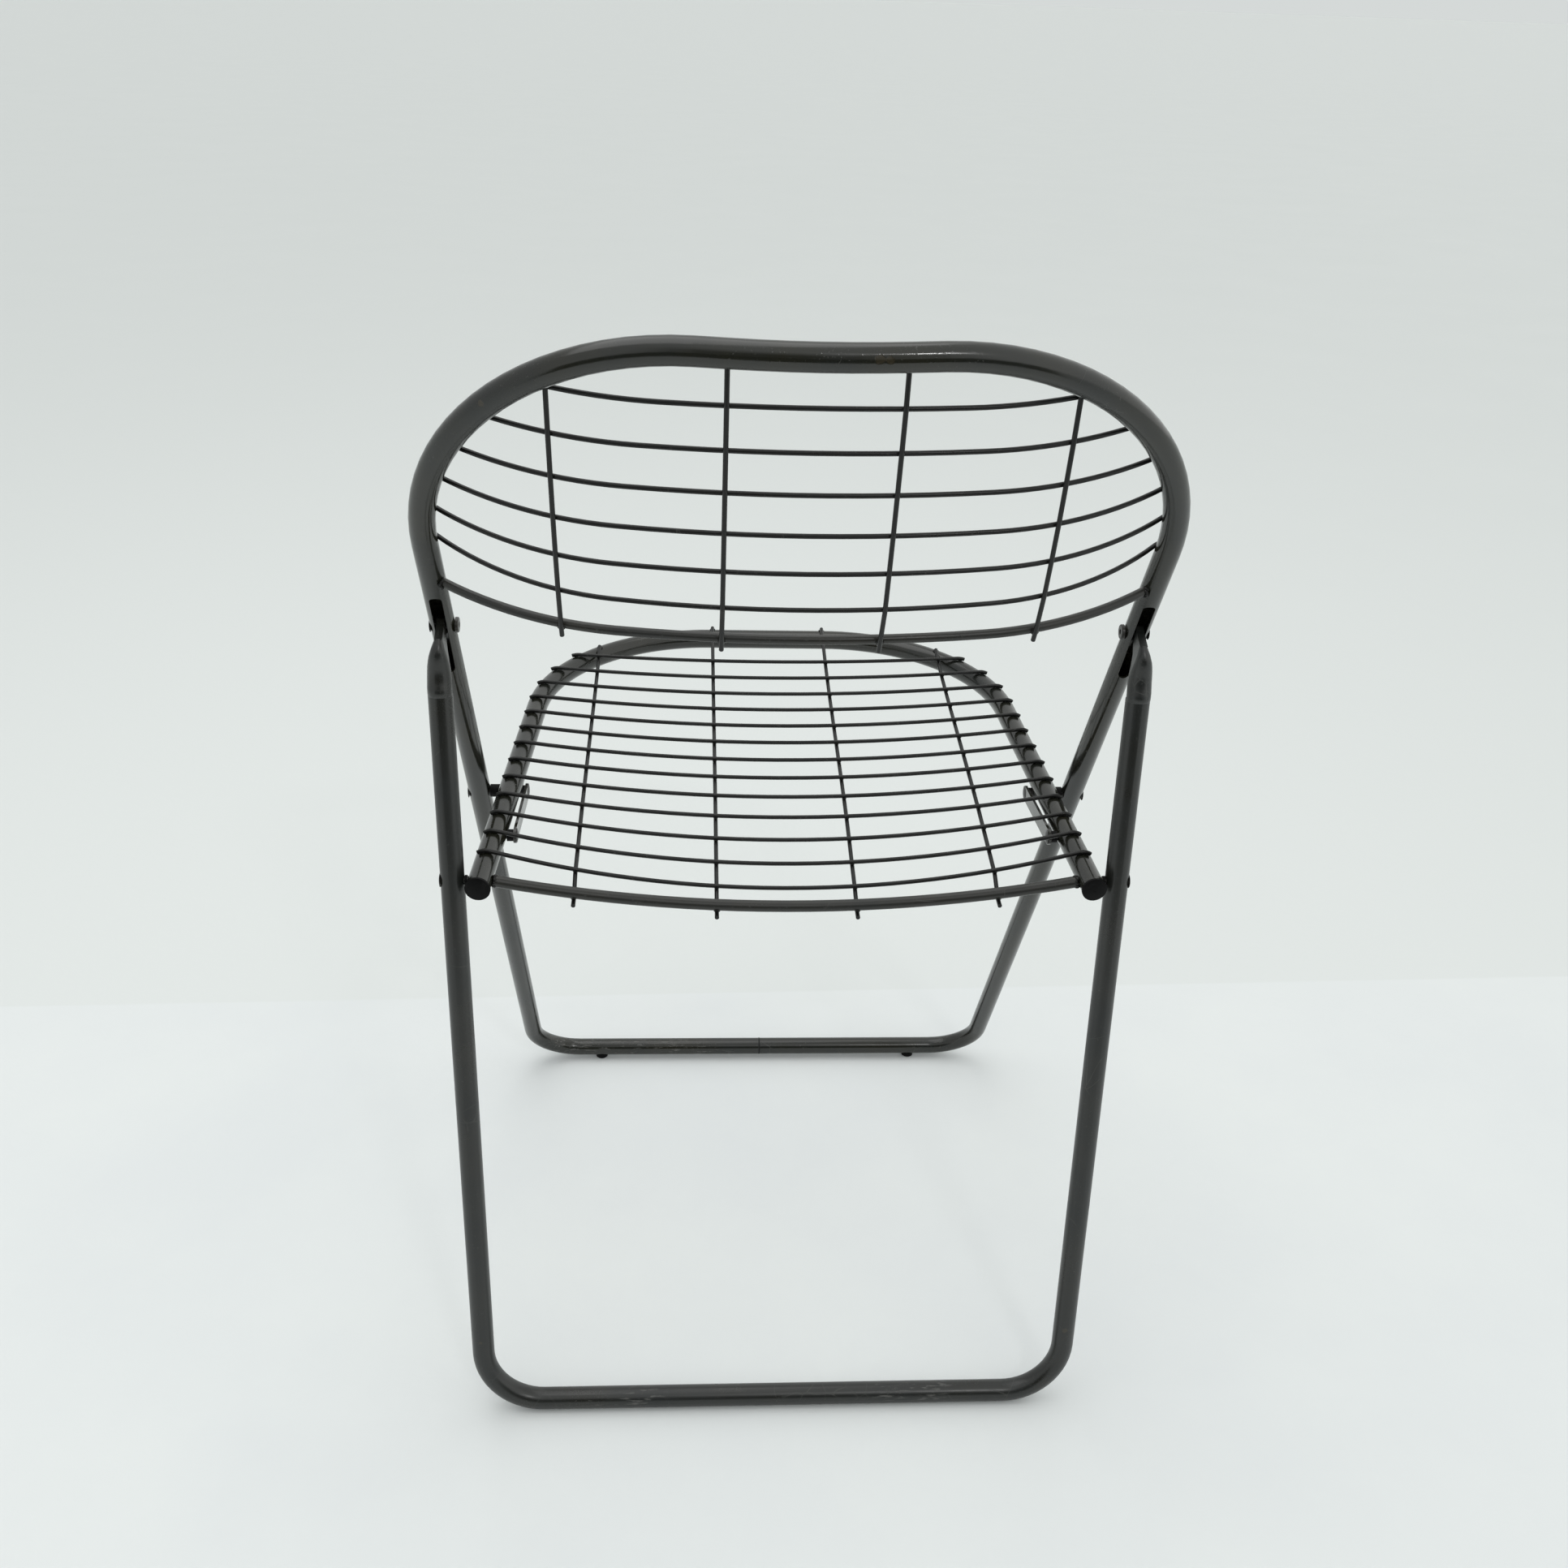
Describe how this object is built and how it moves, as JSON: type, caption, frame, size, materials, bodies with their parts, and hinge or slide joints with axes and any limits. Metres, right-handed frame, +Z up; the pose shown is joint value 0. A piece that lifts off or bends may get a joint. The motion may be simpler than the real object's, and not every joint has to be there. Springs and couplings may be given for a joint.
{
  "type": "folding wire chair",
  "caption": "Folding metal chair with tubular legs, a hanging welded wire mesh seat and a curved wire mesh back.",
  "frame": {"origin": "centre of the outline on the floor", "axes": "+Z up, the chair faces -Y, +X is the sitter's left"},
  "size_m": [0.468, 0.4874, 0.8023],
  "materials": {
    "grey_paint": "gloss",
    "painted_rivet": "gloss",
    "black_steel": "satin",
    "black_plastic": "satin"
  },
  "bodies": {
    "main": {"back_cross_wire_1": "grey_paint", "back_cross_wire_2": "grey_paint", "back_cross_wire_3": "grey_paint", "back_cross_wire_4": "grey_paint", "back_cross_wire_5": "grey_paint", "back_cross_wire_6": "grey_paint", "back_lower_rod": "grey_paint", "left_front_glide": "black_plastic", "left_inner_back_upright": "grey_paint", "left_leg_pivot_rivet": "painted_rivet", "left_link_front_bush": "black_plastic", "left_link_front_pin": "black_steel", "left_outer_back_upright": "grey_paint", "main_frame": "grey_paint", "right_front_glide": "black_plastic", "right_inner_back_upright": "grey_paint", "right_leg_pivot_rivet": "painted_rivet", "right_link_front_bush": "black_plastic", "right_link_front_pin": "black_steel", "right_outer_back_upright": "grey_paint"},
    "seat": {"left_inner_seat_long_wire": "grey_paint", "left_link_rear_bush": "black_plastic", "left_link_rear_rivet": "black_steel", "left_outer_seat_long_wire": "grey_paint", "left_seat_tube_plug": "black_plastic", "right_inner_seat_long_wire": "grey_paint", "right_link_rear_bush": "black_plastic", "right_link_rear_rivet": "black_steel", "right_outer_seat_long_wire": "grey_paint", "right_seat_tube_plug": "black_plastic", "seat_cross_wire_01": "grey_paint", "seat_cross_wire_02": "grey_paint", "seat_cross_wire_03": "grey_paint", "seat_cross_wire_04": "grey_paint", "seat_cross_wire_05": "grey_paint", "seat_cross_wire_06": "grey_paint", "seat_cross_wire_07": "grey_paint", "seat_cross_wire_08": "grey_paint", "seat_cross_wire_09": "grey_paint", "seat_cross_wire_10": "grey_paint", "seat_cross_wire_11": "grey_paint", "seat_cross_wire_12": "grey_paint", "seat_cross_wire_13": "grey_paint", "seat_frame": "grey_paint", "seat_rear_rod": "grey_paint"},
    "left_link": {"left_link_front_rivet": "black_steel", "left_seat_link": "grey_paint"},
    "rear_legs": {"left_seat_pivot_rivet": "painted_rivet", "left_seat_pivot_spacer": "black_plastic", "rear_leg_frame": "grey_paint", "right_seat_pivot_rivet": "painted_rivet", "right_seat_pivot_spacer": "black_plastic"},
    "right_link": {"right_link_front_rivet": "black_steel", "right_seat_link": "grey_paint"}
  },
  "joints": [
    {"name": "rear_legs_fold", "type": "hinge", "parent": "main", "child": "rear_legs", "pos_m": [0, 0.10501, 0.5925], "axis": [-1, 0, 0], "range_deg": [0, 38.07]},
    {"name": "seat_fold", "type": "hinge", "parent": "rear_legs", "child": "seat", "pos_m": [0, 0.14466, 0.42669], "axis": [-1, 0, 0], "range_deg": [0, 71.88]},
    {"name": "left_link_swing", "type": "hinge", "parent": "seat", "child": "left_link", "pos_m": [0.188, 0.08895, 0.4299], "axis": [1, 0, 0], "range_deg": [0, 156.62]},
    {"name": "right_link_swing", "type": "hinge", "parent": "seat", "child": "right_link", "pos_m": [-0.188, 0.08895, 0.4299], "axis": [1, 0, 0], "range_deg": [0, 156.62]}
  ],
  "couplings": [
    {"joint": "seat_fold", "follows": "rear_legs_fold", "ratio": 1.8876},
    {"joint": "left_link_swing", "follows": "rear_legs_fold", "ratio": 4.1135},
    {"joint": "right_link_swing", "follows": "rear_legs_fold", "ratio": 4.1135}
  ]
}
